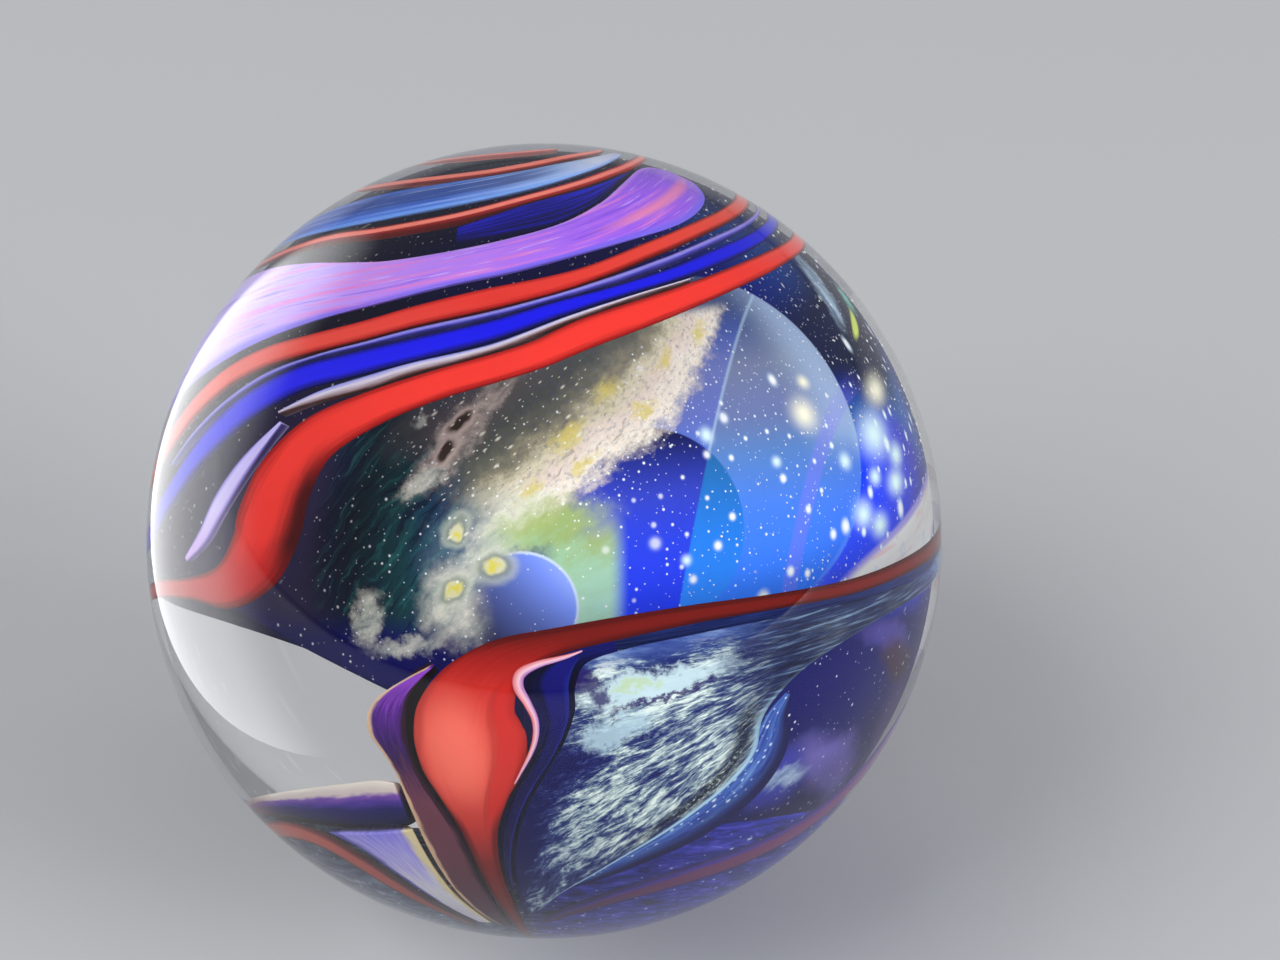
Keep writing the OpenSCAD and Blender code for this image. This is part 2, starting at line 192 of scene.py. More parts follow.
SKIRT = [
    (38.2, -17, 0.6), (37, -20.2, 2), (37, -23.6, 3.2), (36.6, -27, 4), (34.6, -31, 4.4), (31, -34.8, 4.4),
    (26, -38.8, 4.2), (20.2, -42.6, 3.4), (13.2, -47, 2.4), (6, -51.4, 1),
]
FOOT_SHADE = [
    (-62, -40.6, 0.8), (-50, -39.2, 1.2), (-42, -38.9, 1.2), (-34, -38.6, 1.2), (-27, -37.8, 1.2),
    (-22.8, -35.4, 1.2), (-22.6, -32, 1), (-22.8, -28.6, 0.6),
]


def toward(lon, lat):
    """Direction in the twist frame, where longitude 0 is the front and 90 the right."""
    a = np.radians(lon)
    b = np.radians(lat)
    return np.stack([np.cos(b) * np.sin(a), -np.cos(b) * np.cos(a), np.sin(b)], axis=-1)


def leaned(points):
    """Points of the twist frame in the row frame."""
    a = math.radians(-AXIS_LEAN)
    turn = np.array([[1, 0, 0], [0, math.cos(a), -math.sin(a)], [0, math.sin(a), math.cos(a)]])
    return np.asarray(points) @ turn.T


def unit(vectors):
    """Vectors at length one."""
    return vectors / np.linalg.norm(vectors, axis=-1, keepdims=True)


def srgb(r, g, b):
    """Colour as seen on a screen, 0 to 255, as shader values."""
    parts = [v / 255 for v in (r, g, b)]
    return tuple(v / 12.92 if v <= 0.04045 else ((v + 0.055) / 1.055) ** 2.4 for v in parts) + (1.0,)


def add_piece(name, points, faces, node, material, bands=None):
    """Smooth mesh piece on the one body. Its spot attribute is its place in the twist frame in ball radii."""
    mesh = bpy.data.meshes.new(name)
    mesh.from_pydata([tuple(p) for p in leaned(points)], [], faces)
    mesh.update()
    spot = mesh.attributes.new("spot", "FLOAT_VECTOR", "POINT")
    spot.data.foreach_set("vector", (np.asarray(points) / BALL_R).astype(np.float32).ravel())
    if bands is not None:
        band = mesh.attributes.new("band", "FLOAT_VECTOR", "POINT")
        band.data.foreach_set("vector", np.asarray(bands, np.float32).ravel())
    mesh.polygons.foreach_set("use_smooth", [True] * len(mesh.polygons))
    obj = bpy.data.objects.new(name, mesh)
    bpy.context.scene.collection.objects.link(obj)
    mesh.materials.append(material)
    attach(obj, "root")
    if node:
        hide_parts(node)


def stations(path):
    """Control points with points set evenly between them on a smooth curve."""
    p = np.array(path, float)
    last = len(p) - 1
    per = 10
    rows = []
    for i in range(last):
        a, b, c, d = p[max(i - 1, 0)], p[i], p[i + 1], p[min(i + 2, last)]
        for k in range(per):
            t = k / per
            cubic = 1.5 * (b - c) + (d - a) / 2
            square = a - 2.5 * b + 2 * c - d / 2
            rows.append(b + t * ((c - a) / 2 + t * (square + t * cubic)))
    rows.append(p[last])
    return np.array(rows)


def loft(name, lefts, rights, node, slot, material, depth=RIBBON_DEPTH, lift=0.0, cells=14):
    """Piece that follows the ball from border to border, flat outside and rounded inside.

    Its band attribute is the run along it, the place across it from -1 to 1, and its half width in degrees.
    """
    rim = 0.06
    section = []
    for k in range(cells + 1):
        share = -math.cos(math.pi * k / cells)
        section.append((share, rim * share ** 8))
    for k in range(1, cells):
        share = math.cos(math.pi * k / cells)
        section.append((share, rim + (1 - rim) * (1 - abs(share) ** 3) ** 0.6))
    wide = len(section)
    middle = unit(lefts + rights)
    runs = np.concatenate([[0], np.cumsum(np.linalg.norm(np.diff(middle, axis=0), axis=1))])
    halves = np.degrees(np.arcsin(np.linalg.norm(rights - lefts, axis=1) / 2))
    points = []
    bands = []
    for left, right, run, half in zip(lefts, rights, runs, halves):
        for share, sink in section:
            line = unit(left * (1 - share) + right * (1 + share))
            points.append(line * (RIBBON_R + lift - sink * depth))
            bands.append((run, share, half))
    faces = []
    for i in range(len(lefts) - 1):
        for k in range(wide):
            a = i * wide + k
            b = i * wide + (k + 1) % wide
            faces.append((a, b, b + wide, a + wide))
    faces.append(tuple(reversed(range(wide))))
    faces.append(tuple(range((len(lefts) - 1) * wide, len(lefts) * wide)))
    add_piece(name, points, faces, node, material, bands)


def ribbon(name, path, node, slot, material, **more):
    """Piece with even borders on both sides of a line."""
    rows = stations(path)
    middle = toward(rows[:, 0], rows[:, 1])
    side = unit(np.cross(middle, np.gradient(middle, axis=0)))
    reach = np.radians(rows[:, 2])[:, None]
    lefts = middle * np.cos(reach) - side * np.sin(reach)
    rights = middle * np.cos(reach) + side * np.sin(reach)
    loft(name, lefts, rights, node, slot, material, **more)


def sheet(name, path, node, slot, material, **more):
    """Broad leaf with two borders of its own."""
    rows = stations(path)
    lefts = toward(rows[:, 0], rows[:, 1])
    rights = toward(rows[:, 2], rows[:, 3])
    loft(name, lefts, rights, node, slot, material, **more)


def turned(name, profile, axis, node, material):
    """Body turned about an axis, from (radius, height) points that start and end on it."""
    one = unit(np.cross(axis, (0, 1, 0)))
    two = np.cross(axis, one)
    turns = 256
    points = [profile[0][1] * axis]
    for radius, height in profile[1:-1]:
        for k in range(turns):
            a = 2 * math.pi * k / turns
            points.append(height * axis + radius * (math.cos(a) * one + math.sin(a) * two))
    points.append(profile[-1][1] * axis)
    rings = len(profile) - 2
    faces = []
    for k in range(turns):
        faces.append((0, 1 + (k + 1) % turns, 1 + k))
    for i in range(rings - 1):
        for k in range(turns):
            a = 1 + i * turns + k
            b = 1 + i * turns + (k + 1) % turns
            faces.append((a, b, b + turns, a + turns))
    last = 1 + (rings - 1) * turns
    for k in range(turns):
        faces.append((last + k, last + (k + 1) % turns, len(points) - 1))
    add_piece(name, points, faces, node, material)


class Paint:
    """Node tree with short calls that each add a node and give its output, and a colour laid up in coats."""

    def __init__(self, owner):
        self.owner = owner
        owner.use_nodes = True
        self.nodes = owner.node_tree.nodes
        self.links = owner.node_tree.links
        self.colour = None

    def put(self, node, values):
        """Link or set a node's inputs by name or number."""
        for key, value in values.items():
            if isinstance(value, bpy.types.NodeSocket):
                self.links.new(value, node.inputs[key])
            else:
                node.inputs[key].default_value = value

    def set(self, node, **values):
        """Link or set inputs of a node that the tree starts with; _ in a name stands for a space."""
        self.put(self.nodes[node], {key.replace("_", " "): value for key, value in values.items()})

    def node(self, kind, inputs, **settings):
        """Outputs of a new node."""
        node = self.nodes.new("ShaderNode" + kind)
        for key, value in settings.items():
            setattr(node, key, value)
        self.put(node, inputs)
        return node.outputs

    def attribute(self, name):
        return self.node("Attribute", {}, attribute_name=name)["Vector"]

    def parts(self, vector):
        return tuple(self.node("SeparateXYZ", {0: vector}))

    def vector(self, x, y, z=0.0):
        return self.node("CombineXYZ", {0: x, 1: y, 2: z})[0]

    def math(self, kind, a, b=0.0):
        return self.node("Math", {0: a, 1: b}, operation=kind)[0]

    def add(self, first, *others):
        """Sum of two or more values."""
        for other in others:
            first = self.math("ADD", first, other)
        return first

    def times(self, first, *others):
        """Product of one or more values."""
        for other in others:
            first = self.math("MULTIPLY", first, other)
        return first

    def vector_math(self, kind, a, b=(0, 0, 0)):
        return self.node("VectorMath", {0: a, 1: b}, operation=kind)

    def length(self, vector):
        return self.vector_math("LENGTH", vector)["Value"]

    def dot(self, vector, other):
        return self.vector_math("DOT_PRODUCT", vector, other)["Value"]

    @cached_property
    def spot(self):
        """Place in the twist frame."""
        return self.attribute("spot")

    @cached_property
    def lon(self):
        """Longitude about the twist axis in degrees."""
        x, y, _ = self.parts(self.spot)
        return self.math("DEGREES", self.math("ARCTAN2", x, self.times(y, -1.0)))

    @cached_property
    def lat(self):
        """Latitude about the twist axis in degrees."""
        height = self.math("DIVIDE", self.parts(self.spot)[2], self.length(self.spot))
        return self.math("DEGREES", self.math("ARCSINE", height))

    @cached_property
    def band(self):
        """Run along a ribbon, place across it and half width."""
        return self.parts(self.attribute("band"))

    def step(self, value, low, high):
        """0 below low and 1 above high, smooth between; it falls where low is above high."""
        inputs = {
            "Value": value, "From Min": min(low, high), "From Max": max(low, high),
            "To Min": float(low > high), "To Max": float(low < high),
        }
        return self.node("MapRange", inputs, interpolation_type="SMOOTHSTEP")["Result"]

    def within(self, value, low, high, soft):
        """1 between two values and 0 outside them, with soft borders."""
        above = self.step(value, low - soft, low + soft)
        return self.times(above, self.step(value, high + soft, high - soft))

    def off(self, lon, lat):
        """Angle in degrees from a direction."""
        ahead = self.dot(self.spot, tuple(toward(lon, lat)))
        lined_up = self.math("DIVIDE", ahead, self.length(self.spot))
        return self.math("DEGREES", self.math("ARCCOSINE", lined_up))

    def chart(self, where, lon, lat, half_lon, half_lat, tilt=0):
        """Map coordinates from a centre, turned by a tilt and counted in two half sizes."""
        c = math.cos(math.radians(tilt))
        s = math.sin(math.radians(tilt))
        place = self.vector_math("SUBTRACT", where, (lon, lat, 0))["Vector"]
        along = self.dot(place, (c / half_lon, s / half_lon, 0))
        aside = self.dot(place, (-s / half_lat, c / half_lat, 0))
        return self.vector(along, aside)

    def oval(self, where, lon, lat, half_lon, half_lat, tilt=0, soft=0.5):
        """1 inside an oval on the map and 0 outside it, with a soft border."""
        far = self.length(self.chart(where, lon, lat, half_lon, half_lat, tilt))
        return self.step(far, 1 + soft, 1 - soft)

    def noise(self, vector, scale, detail=4.0, rough=0.55, bend=0.0, output="Fac"):
        inputs = {"Vector": vector, "Scale": scale, "Detail": detail, "Roughness": rough, "Distortion": bend}
        return self.node("TexNoise", inputs)[output]

    def streak(self, along, aside, scale, detail=5.0, rough=0.55):
        """Noise drawn out along a ribbon."""
        run, across, _ = self.band
        place = self.vector(self.times(run, along), self.times(across, aside))
        return self.noise(place, scale, detail, rough)

    def waver(self, noise, amount):
        """Noise as a shift to both sides."""
        return self.times(self.add(noise, -0.5), amount)

    def drift(self, scale, amount, detail=4.0, rough=0.55):
        """Two slow random shifts, for bending the borders of a map."""
        colour = self.noise(self.spot, scale, detail, rough, output="Color")
        one, two, _ = self.node("SeparateColor", {0: colour})
        return self.waver(one, amount), self.waver(two, amount)

    def specks(self, where, cell, tilt, stretch, small, large, chance):
        """Scattered round grains on the map, one at most in each cell, of many sizes."""
        inputs = {"Vector": self.chart(where, 0, 0, cell * stretch, cell, tilt), "Scale": 1.0}
        cells = self.node("TexVoronoi", inputs, voronoi_dimensions="2D")
        lot, size, _ = self.node("SeparateColor", {0: cells["Color"]})
        radius = self.add(self.times(size, size, size, large - small), small)
        near = self.step(self.math("DIVIDE", cells["Distance"], radius), 1.0, 0.2)
        return self.times(near, self.step(self.add(lot, chance), 0.98, 1.0))

    def ramp(self, value, *stops):
        """Colour by value, from (value, red, green, blue) stops."""
        low = stops[0][0]
        span = stops[-1][0] - low
        place = self.math("DIVIDE", self.add(value, -low), span)
        node = self.nodes.new("ShaderNodeValToRGB")
        self.put(node, {0: place})
        elements = node.color_ramp.elements
        elements[0].color = srgb(*stops[0][1:])
        elements[1].color = srgb(*stops[-1][1:])
        for at, *colour in stops[1:-1]:
            elements.new((at - low) / span).color = srgb(*colour)
        return node.outputs["Color"]

    def mix(self, share, a, b):
        """Mix of two colours, each an output or a (red, green, blue) triple."""
        a, b = [srgb(*c) if isinstance(c, tuple) else c for c in (a, b)]
        return self.node("Mix", {0: share, 6: a, 7: b}, data_type="RGBA")[2]

    def lay(self, tint, *shares):
        """Lay a tint over the colour so far, as strong as the product of the shares."""
        self.colour = self.mix(self.times(*shares), self.colour, tint)

    def glass(self):
        """Coloured glass sealed in clear glass, so it has no shine of its own."""
        self.set("Principled BSDF", Base_Color=self.colour, Roughness=0.6, Specular_IOR_Level=0.0)
        return self.owner


def paint(name):
    """Paint for a new material."""
    return Paint(bpy.data.materials.new(name))


DEEP_RED = (176, 26, 24)
DARK_RED = (96, 14, 12)
SALMON = (250, 134, 116)
NAVY = (8, 7, 66)


def cane(name, middle, rim):
    """Drawn coloured glass, from a middle colour to a rim colour, each by latitude."""
    p = paint(name)
    edge = p.add(p.math("ABSOLUTE", p.band[1]), p.waver(p.streak(1.5, 2.0, 4.0), 0.5))
    p.colour = p.ramp(p.lat, *middle)
    # Darker rim: partly the glass thinning at its edges, partly painted shade of the rounded rod
    p.lay(p.ramp(p.lat, *rim), p.step(edge, 0.45, 1.0))
    return p.glass()


def clear_glass():
    """Polished clear glass that lets the lamps reach what is inside it."""
    p = paint("clear_glass")
    p.set("Principled BSDF", Base_Color=(1, 1, 1, 1), Roughness=0.0, IOR=GLASS_IOR, Transmission_Weight=1.0)
    polished = p.nodes["Principled BSDF"].outputs[0]
    shadow = p.node("LightPath", {})["Is Shadow Ray"]
    through = p.node("BsdfTransparent", {"Color": (0.93, 0.95, 0.96, 1)})[0]
    both = p.node("MixShader", {0: shadow, 1: polished, 2: through})[0]
    p.set("Material Output", Surface=both)
    return p.owner


def casing():
    """Round ball made from a cube's grid, so that it has no poles, a hair inside the solid's own box."""
    count = 96
    points = []
    faces = []
    index = {}

    def point(v):
        key = tuple(round(c * count) for c in v)
        if key not in index:
            index[key] = len(points)
            points.append(CASING_R * unit(np.tan(np.array(v) * math.pi / 4)))
        return index[key]

    for axis in range(3):
        for sign in (-1, 1):
            for i in range(count):
                for j in range(count):
                    corners = []
                    for di, dj in ((0, 0), (1, 0), (1, 1), (0, 1)):
                        v = [0, 0, 0]
                        v[axis] = sign
                        v[(axis + 1) % 3] = sign * (2 * (i + di) / count - 1)
                        v[(axis + 2) % 3] = 2 * (j + dj) / count - 1
                        corners.append(point(v))
                    faces.append(tuple(corners))
    add_piece("casing", points, faces, "clear_casing", clear_glass())


def galaxy():
    """Starry glass: navy and teal depths, a layered dusty band, a lime patch and thin blue veils."""
    p = paint("galaxy_glass")
    lon = p.lon
    lat = p.lat
    plain = p.vector(lon, lat)
    slow_lon, slow_lat = p.drift(6.0, 8.0)
    fine_lon, fine_lat = p.drift(32.0, 7.0, 7.0, 0.68)
    where_lon = p.add(lon, slow_lon)
    where_lat = p.add(lat, slow_lat)
    where = p.vector(where_lon, where_lat)
    torn = p.vector(p.add(where_lon, fine_lon), p.add(where_lat, fine_lat))
    cloud = p.noise(p.chart(where, 0, 0, 9, 3.4, 38), 1.0, 7.0, 0.66)
    grain = p.noise(p.chart(plain, 0, 0, 1.4, 0.8, 38), 1.0, 4.0, 0.75)
    wisp = p.noise(p.chart(where, 0, 0, 12, 1.3, 52), 1.0, 6.0, 0.65)

    # Ground colour round the ball, darker above and below
    p.colour = p.ramp(
        where_lon,
        (-180, 10, 10, 50), (-70, 30, 18, 72), (-46, 52, 44, 82), (-40, 20, 32, 66), (-34, 8, 36, 52),
        (-26, 18, 62, 70), (-18, 22, 52, 96), (-8, 30, 54, 110), (4, 24, 44, 150), (14, 34, 54, 214),
        (26, 36, 62, 240), (56, 6, 66, 252), (78, 8, 60, 250), (94, 48, 60, 216), (116, 30, 28, 118),
        (180, 10, 10, 50),
    )
    teal = p.within(where_lon, -42, -8, 5)
    p.lay((34, 104, 104), p.step(wisp, 0.52, 0.66), teal, 0.7)
    p.lay((5, 14, 44), p.step(wisp, 0.48, 0.36), teal, 0.8)
    p.lay((12, 22, 66), p.step(lat, 20, 32), p.step(lon, 52, 64))
    upper = p.ramp(
        lon,
        (-180, 10, 10, 50), (-60, 10, 8, 60), (30, 10, 6, 96), (64, 0, 10, 118), (96, 4, 58, 138),
        (130, 12, 20, 80), (180, 10, 10, 50),
    )
    p.lay(upper, p.step(lat, 40, 50))
    p.lay((6, 4, 96), p.step(lat, -7, -13))

    # Dark disc and, to its right, a blue sheet with a crisp border
    disc_off = p.off(20, 8)
    disc = p.ramp(lat, (-6, 32, 62, 250), (6, 42, 66, 224), (14, 50, 66, 190), (24, 16, 22, 84))
    p.lay(disc, p.step(disc_off, 18.2, 17.8), p.step(lon, 4, 12))
    past = p.times(p.add(p.off(86, -10), -61.0), -1.0)
    azure = p.ramp(lat, (-6, 44, 136, 255), (6, 36, 126, 232), (18, 34, 108, 178), (26, 30, 84, 130))
    above_foot = p.step(lat, -12, -8)
    p.lay(
        azure,
        p.step(past, 0, 0.5), p.step(past, 34, 24), p.step(lat, 30, 22), above_foot, p.step(lon, 124, 100),
    )

    # Thin veil round the disc, slate above and bright below, with a violet fold
    veiled = p.times(p.step(p.off(41, 25), 32.3, 31.7), p.step(disc_off, 17.8, 18.2))
    veil = p.ramp(
        lat,
        (-4, 50, 124, 255), (8, 70, 130, 250), (20, 92, 134, 202), (27, 112, 126, 170), (36, 124, 134, 156),
        (44, 80, 98, 134),
    )
    veil = p.mix(p.times(p.step(lon, 54, 72), p.step(lat, 14, 24), 0.8), veil, (172, 196, 232))
    p.lay(veil, veiled, p.add(p.times(p.step(past, -0.2, 0.3), 0.18), 0.74))
    fold = p.times(p.within(past, 21.5, 25, 0.4), p.step(lat, 32, 22), above_foot, p.step(lon, 110, 80))
    p.lay((140, 120, 250), fold, 0.3)
    p.lay((190, 220, 246), p.within(past, 0, 0.5, 0.3), veiled, 0.5)

    # Dark depths and dim clouds: longitude, latitude, half sizes, tilt, strength, colour. The last, a
    # brighter blue cloud, is painted light that lifts a place lying in shadow.
    depths = [
        (100, 29, 16, 7, 0, 0.95, (6, 16, 56)), (64, -22, 20, 9, -14, 0.95, (3, 1, 98)),
        (86, -15, 14, 2.4, -10, 0.6, (96, 84, 178)), (96, -19, 12, 3, -8, 0.9, (62, 36, 56)),
        (110, -27, 10, 5, -8, 0.8, (66, 40, 118)), (86, -37, 20, 4.5, -6, 0.85, (124, 112, 200)),
        (40, -42, 30, 8, 0, 0.8, (22, 16, 110)), (60, -41, 16, 6, -8, 0.8, (64, 70, 190)),
    ]
    for *place, strength, tint in depths:
        p.lay(tint, p.oval(where, *place), strength)

    # Dusty band in layers, from its right border to the grey depths at its left
    along, aside, _ = p.parts(p.chart(torn, 18, 28, 1, 1, 38))
    aside = p.add(aside, p.waver(cloud, 9.0))
    layers = p.ramp(
        aside,
        (-6, 206, 196, 184), (-2, 246, 238, 222), (2, 234, 218, 204), (5, 222, 214, 184), (8, 156, 150, 124),
        (11, 112, 112, 98), (15, 84, 88, 82), (20, 96, 92, 90), (26, 84, 80, 88), (33, 58, 58, 78),
    )
    below_top = p.step(lat, 50, 47)
    reach = p.times(p.step(along, -42, -30), p.step(aside, -6.5, -2.5), p.step(aside, 36, 24), below_top)
    dusting = p.add(p.times(p.step(grain, 0.34, 0.58), 0.2), 0.8)
    p.lay(layers, reach, dusting)
    p.lay((92, 84, 74), reach, p.step(wisp, 0.42, 0.3), 0.5)
    p.lay((120, 108, 96), reach, p.step(grain, 0.46, 0.34), 0.45)

    # Cream, rosy and green clouds on the left, and pale ones far to the right, listed as the depths are
    cream = p.ramp(cloud, (0.32, 120, 134, 140), (0.46, 206, 212, 200), (0.6, 250, 248, 232))
    pale = p.ramp(cloud, (0.34, 110, 140, 180), (0.58, 206, 232, 246))
    rosy = p.ramp(cloud, (0.34, 120, 108, 100), (0.5, 206, 190, 180), (0.66, 232, 214, 204))
    green = p.ramp(cloud, (0.34, 196, 210, 170), (0.56, 240, 246, 226))
    dusts = [
        (-26, 25, 7, 4, 40, 0.55, (86, 78, 82)), (-25.5, 26.4, 1.8, 0.8, 40, 0.7, cream),
        (-13, 6.4, 8, 5.6, 30, 0.5, (112, 144, 158)), (-18, 24.5, 11.5, 2.8, 56, 0.9, rosy),
        (-9, 34, 5, 1.4, 40, 0.6, rosy), (-4, 10.5, 6, 3.6, 30, 0.8, green),
        (-15, -5, 6, 6.5, 0, 0.85, cream), (-33.5, -8.5, 2.4, 4.6, -12, 0.95, cream),
        (-10, 5, 5, 2.6, 30, 0.8, cream),
        (-25, -13, 7, 1.6, 8, 0.7, cream), (-23.5, 16, 4.6, 1.4, 48, 0.8, cream),
        (107, 40, 10, 2.8, 20, 0.95, pale), (66, -41, 8, 2.2, 12, 0.8, pale),
    ]
    for *place, strength, tint in dusts:
        p.lay(tint, p.oval(torn, *place, 0.6), dusting, strength)

    # Gold flecks in the dust
    flecks = [(5, 25, 3), (13.5, 33, 3), (28, 39, 2.6), (40, 44, 2.8), (8, 19, 2), (20, 30, 2), (-2, 15, 2)]
    for *place, size in flecks:
        p.lay((222, 206, 104), p.oval(torn, *place, size, 0.5 * size, 38, 0.9), 0.8)

    # Two dark seeds in the rosy layer
    for place in [(-16.8, 27.8), (-19.4, 22)]:
        p.lay((206, 186, 176), p.oval(where, *place, 3.9, 1.9, 50, 0.3))
        p.lay((62, 46, 40), p.oval(where, *place, 2.9, 1.1, 50, 0.35))

    # Lime patch, broad above and straight below
    lime = p.ramp(
        p.add(lat, p.waver(cloud, 20.0)),
        (-8, 178, 226, 198), (2, 168, 212, 166), (8, 164, 188, 108), (14, 180, 192, 132),
    )
    straight = p.times(p.step(lon, -3, 3), p.step(lon, 15.4, 11.4), p.step(lat, 14, 5))
    broad = p.oval(torn, 2, 8.6, 10, 3.8, 12, 0.5)
    p.lay(lime, p.math("MAXIMUM", straight, broad), 0.92)

    # Lavender hollow under a round arch with a pale border
    inside = p.off(-4, -6)
    cave = p.ramp(
        p.add(p.times(lon, 0.8), p.times(lat, 0.6)),
        (-14, 52, 56, 100), (-6, 92, 112, 190), (0, 124, 152, 250), (5, 160, 186, 255),
    )
    p.lay((206, 224, 250), p.step(inside, 10.4, 10.0), p.step(lon, -9, -2))
    p.lay(cave, p.step(inside, 9.9, 9.5), p.step(where_lon, -14, -8))

    # Eyes in the clouds: a pale ring, a grey ring and a gold heart
    rings = [(1.4, 0.55, (206, 214, 196)), (1.0, 0.65, (120, 132, 122)), (0.66, 0.85, (232, 230, 186))]
    for *place, size in [(-16.6, 7.7, 2.3), (-8.9, 1.4, 3), (-15.7, -3.6, 2.8)]:
        for share, strength, tint in rings:
            p.lay(tint, p.oval(where, *place, share * size, 0.85 * share * size, 30, 0.25), strength)
        p.lay((228, 216, 72), p.oval(torn, *place, 0.4 * size, 0.34 * size, 40, 0.8), 0.9)

    # Bright shell at the far right, with a lilac border
    p.lay((176, 166, 240), p.oval(plain, 94, -0.4, 32, 5, 9.5, 0.1))
    shell = p.ramp(
        p.noise(p.chart(plain, 0, 0, 16, 1.4, 9.5), 1.0, 5.0),
        (0.34, 250, 222, 222), (0.46, 252, 252, 248), (0.62, 255, 255, 250),
    )
    p.lay(shell, p.oval(plain, 94, -0.9, 31, 4.3, 9.5, 0.12))

    # Specks: fine everywhere, denser along the dusty band, long ones in the grey, soft stars on the right
    edge_dust = p.oval(torn, 15, 20, 22, 6, 40, 0.6)
    right = p.times(p.step(lon, 13, 20), p.step(lat, -12, -6))
    rich = p.add(p.times(right, 0.2), p.times(edge_dust, 0.5), p.times(teal, 0.2), 0.14)
    p.lay((244, 250, 252), p.specks(plain, 1.4, 0, 1, 0.08, 0.3, rich), 0.95)
    grey = p.times(p.oval(where, -6, 26, 20, 13, 40, 0.4), 0.55)
    p.lay((240, 238, 222), p.specks(plain, 1.3, 38, 2.4, 0.1, 0.34, grey), 0.85)
    star = p.specks(plain, 5.5, 0, 1, 0.14, 0.42, p.times(right, p.step(lat, 40, 30), 0.5))
    p.lay((206, 232, 255), star, p.step(past, -20, 40))
    p.lay((250, 253, 255), star, star, star, p.add(p.times(p.step(past, -10, 10), 0.5), 0.5))

    # Large stars with soft halos: longitude, latitude, width, height, colour
    cyan = (224, 252, 255)
    straw = (255, 252, 226)
    glows = [
        (59.7, 25.5, 8, 6, straw), (93.8, 24.2, 14, 5, straw), (82.8, 18.6, 15, 8, cyan),
        (91, 13.8, 8, 4, cyan), (87.4, 9.8, 9, 4.4, cyan), (71, 6.5, 7, 5, cyan), (77, 4, 7, 4.4, cyan),
        (33, 24, 3, 3, cyan), (78, 12, 5, 3, cyan), (68, 16, 4, 3, cyan), (26, 2, 2, 2, cyan),
        (64, 31, 4, 2.6, straw), (48, 18, 2.4, 2, cyan),
    ]
    for *place, wide, tall, tint in glows:
        halo = p.oval(plain, *place, wide / 2, tall / 2, 0, 1.0)
        p.lay(tint, halo, halo)

    # Green dash and a green star in the dark on the right
    p.lay((226, 246, 110), p.oval(plain, 108, 32.4, 7, 0.9, 2, 0.4))
    p.lay((130, 220, 206), p.oval(plain, 121, 32.6, 4, 1.4, 0, 0.9))
    return p.glass()


def core():
    """Ball of dark glass with a round hollow, turned about the hollow's own axis."""
    reach = HOLLOW_R + HOLLOW_WEB
    rim_height = (CORE_R ** 2 - HOLLOW_R ** 2 + reach ** 2) / (2 * reach)
    rim = math.acos(rim_height / CORE_R)
    inside = math.asin(CORE_R * math.sin(rim) / HOLLOW_R)
    profile = []
    for a in np.linspace(math.pi, rim, 151):
        profile.append((CORE_R * math.sin(a), CORE_R * math.cos(a)))
    for a in np.linspace(inside, 0, 41)[1:]:
        profile.append((HOLLOW_R * math.sin(a), reach - HOLLOW_R * math.cos(a)))
    turned("core", profile, toward(HOLLOW_LON, HOLLOW_LAT), "galaxy_core", galaxy())


def pad_glass():
    """Slate glass with pale streaks on the left, and deep blue with violet streaks on the right."""
    p = paint("foot_pad_glass")
    streak = p.noise(p.vector(p.times(p.lon, 0.06), p.times(p.lat, 0.3)), 2.0, 7.0, 0.65, 0.6)
    slate = [(0.3, 14, 16, 60), (0.46, 52, 66, 106), (0.6, 92, 110, 144), (0.72, 170, 182, 204)]
    deep = [(0.34, 8, 8, 72), (0.5, 24, 32, 144), (0.64, 76, 72, 200), (0.74, 140, 156, 236)]
    p.colour = p.ramp(streak, *slate)
    p.lay(p.ramp(streak, *deep), p.step(p.lon, -12, 4))
    p.lay((206, 220, 244), p.specks(p.vector(p.lon, p.lat), 1.6, 0, 2.0, 0.08, 0.3, 0.3), 0.8)
    return p.glass()


def pad():
    """Cap of dark glass round the foot, under the ribbons."""
    reach = math.radians(PAD_REACH)
    low = PAD_R - PAD_DEPTH
    inner_reach = math.acos(PAD_R * math.cos(reach) / low)
    profile = []
    for a in np.linspace(0, reach, 41):
        profile.append((PAD_R * math.sin(a), PAD_R * math.cos(a)))
    for a in np.linspace(inner_reach, 0, 41):
        profile.append((low * math.sin(a), low * math.cos(a)))
    turned("pad", profile, np.array([0.0, 0.0, -1.0]), "foot_pad", pad_glass())


def violet_glass():
    """Lilac glass, violet to the right, with long pink streaks and a blue lower border."""
    p = paint("violet_glass")
    run, across, width = p.band
    lines = p.vector(p.times(run, 0.8), p.times(across, width, 0.34))
    streak = p.noise(lines, 2.4, 6.0, 0.6, 0.3)
    thread = p.noise(lines, 7.0, 4.0, 0.6)
    p.colour = p.ramp(
        p.lon,
        (-180, 120, 96, 206), (-98, 206, 196, 250), (-58, 204, 184, 250), (-28, 186, 138, 238),
        (8, 164, 104, 236), (40, 148, 92, 230), (62, 160, 112, 226), (180, 120, 96, 206),
    )
    p.lay((228, 132, 208), p.step(streak, 0.5, 0.62), p.within(p.lon, -64, 34, 12), 0.85)
    p.lay((120, 74, 214), p.step(streak, 0.46, 0.34), 0.6)
    p.lay((232, 214, 252), p.step(thread, 0.58, 0.68), 0.45)
    off_line = p.math("ABSOLUTE", p.add(across, 0.2))
    p.lay((240, 142, 172), p.step(off_line, 0.28, 0.04), p.within(p.lon, 16, 54, 9), 0.8)
    p.lay((112, 106, 234), p.step(across, -0.7, -0.94), 0.8)
    p.lay((210, 164, 248), p.step(across, 0.82, 0.98), 0.6)
    return p.glass()


